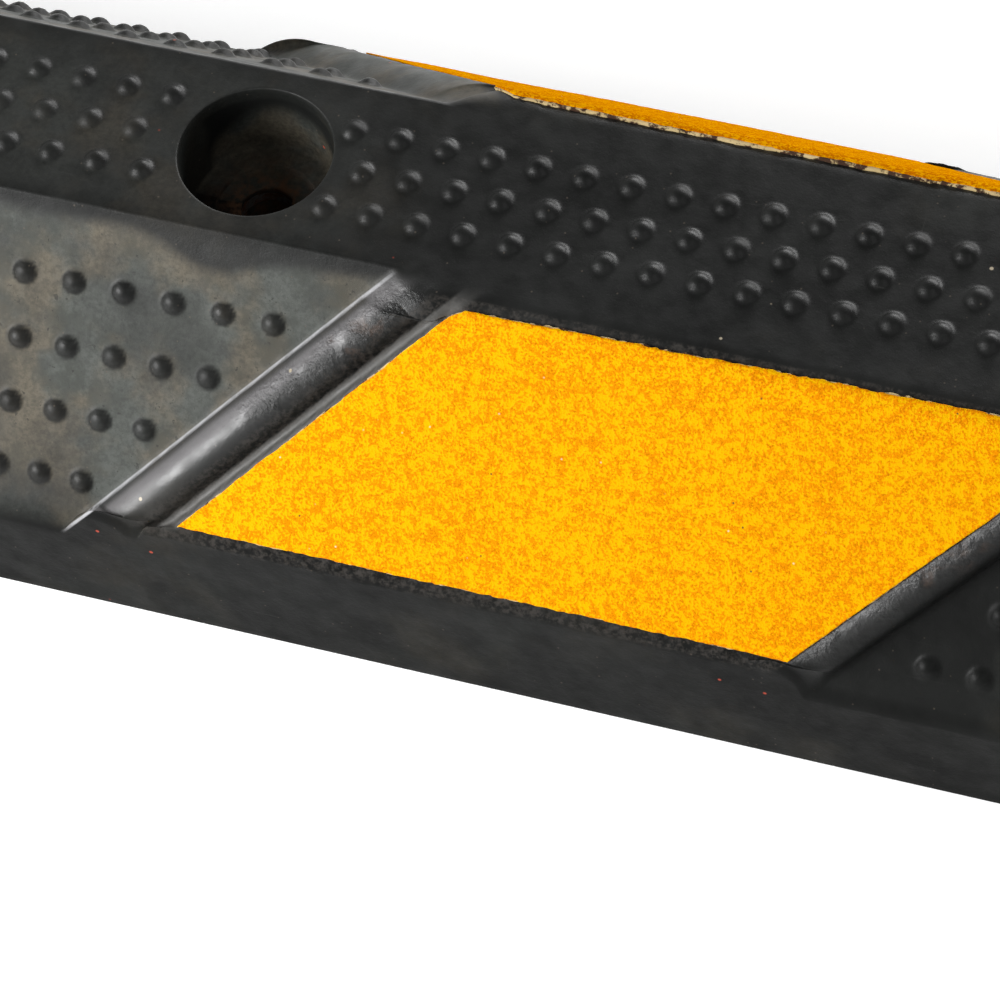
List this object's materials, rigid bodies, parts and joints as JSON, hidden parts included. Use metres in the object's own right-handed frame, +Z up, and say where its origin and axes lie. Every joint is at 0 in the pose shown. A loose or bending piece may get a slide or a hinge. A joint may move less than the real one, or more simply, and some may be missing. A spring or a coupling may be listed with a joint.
{
  "type": "rubber speed bump",
  "caption": "Kerb-type rubber speed bump (wheel stop) with bevelled ends, studded faces, slanted ribs, yellow reflective panels and counterbored holes for anchor bolts.",
  "frame": {"origin": "centre of the underside, on the ground", "axes": "+X along the length, -Y faces the front slope, +Z up"},
  "size_m": [0.9, 0.15, 0.0968],
  "materials": {
    "rubber": "satin moulded black rubber, scuffed and dusty",
    "steel": "dull zinc-plated steel",
    "film_backing": "matt pale cream sheet, seen at its cut edges",
    "reflective_film": "yellow beaded reflective sheet with fine orange mottling"
  },
  "bodies": {
    "root": {"rubber_body": "rubber", "washer_left": "steel", "washer_right": "steel", "film_backing_front_left": "film_backing", "film_backing_front_right": "film_backing", "film_backing_rear_left": "film_backing", "film_backing_rear_right": "film_backing", "reflective_film_front_left": "reflective_film", "reflective_film_front_right": "reflective_film", "reflective_film_rear_left": "reflective_film", "reflective_film_rear_right": "reflective_film"}
  },
  "joints": []
}
